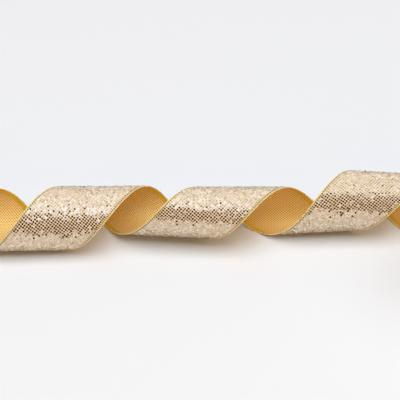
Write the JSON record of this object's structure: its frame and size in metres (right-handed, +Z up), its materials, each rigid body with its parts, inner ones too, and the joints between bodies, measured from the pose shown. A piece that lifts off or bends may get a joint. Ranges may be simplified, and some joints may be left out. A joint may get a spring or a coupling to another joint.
{
  "type": "ribbon spool",
  "caption": "Flanged board spool of wired glitter ribbon, with its free end drawn off, curled into a loose helix on the table and cut in a dovetail.",
  "frame": {"origin": "on the table, under the middle of the whole: spool and drawn-off ribbon together", "axes": "+X along the curled ribbon, from its cut end to the spool; +Z up from the table; the curl's front faces -Y"},
  "size_m": [0.4684, 0.1605, 0.095],
  "materials": {
    "glitter": "champagne glitter film, sparkling",
    "gold_cloth": "woven satin with a gold sheen",
    "gold_edge": "metallic lurex thread",
    "wire": "bare craft wire",
    "thread": "fine matt thread",
    "board": "matt white-faced board",
    "kraft": "matt spiral-wound kraft tube",
    "tape": "glossy film",
    "label": "plain coated paper"
  },
  "bodies": {
    "drawn_ribbon": {"glitter_face": "glitter", "gold_backing": "gold_cloth", "edge_binding_left": "gold_edge", "edge_binding_right": "gold_edge", "edge_wire_left": "wire", "edge_wire_right": "wire", "hem_stitch_left": "thread", "hem_stitch_right": "thread"},
    "spool": {"flange_left": "board", "flange_right": "board", "core_tube": "kraft", "anchor_tape": "tape", "wound_ribbon": "glitter", "wound_edge_left": "gold_edge", "wound_edge_right": "gold_edge", "spool_label": "label"}
  },
  "joints": [
    {"name": "spool_turn", "type": "hinge", "parent": "drawn_ribbon", "child": "spool", "pos_m": [0.18928, -0.02893, 0.0475], "axis": [0.8192, 0.5736, 0], "continuous": true}
  ]
}
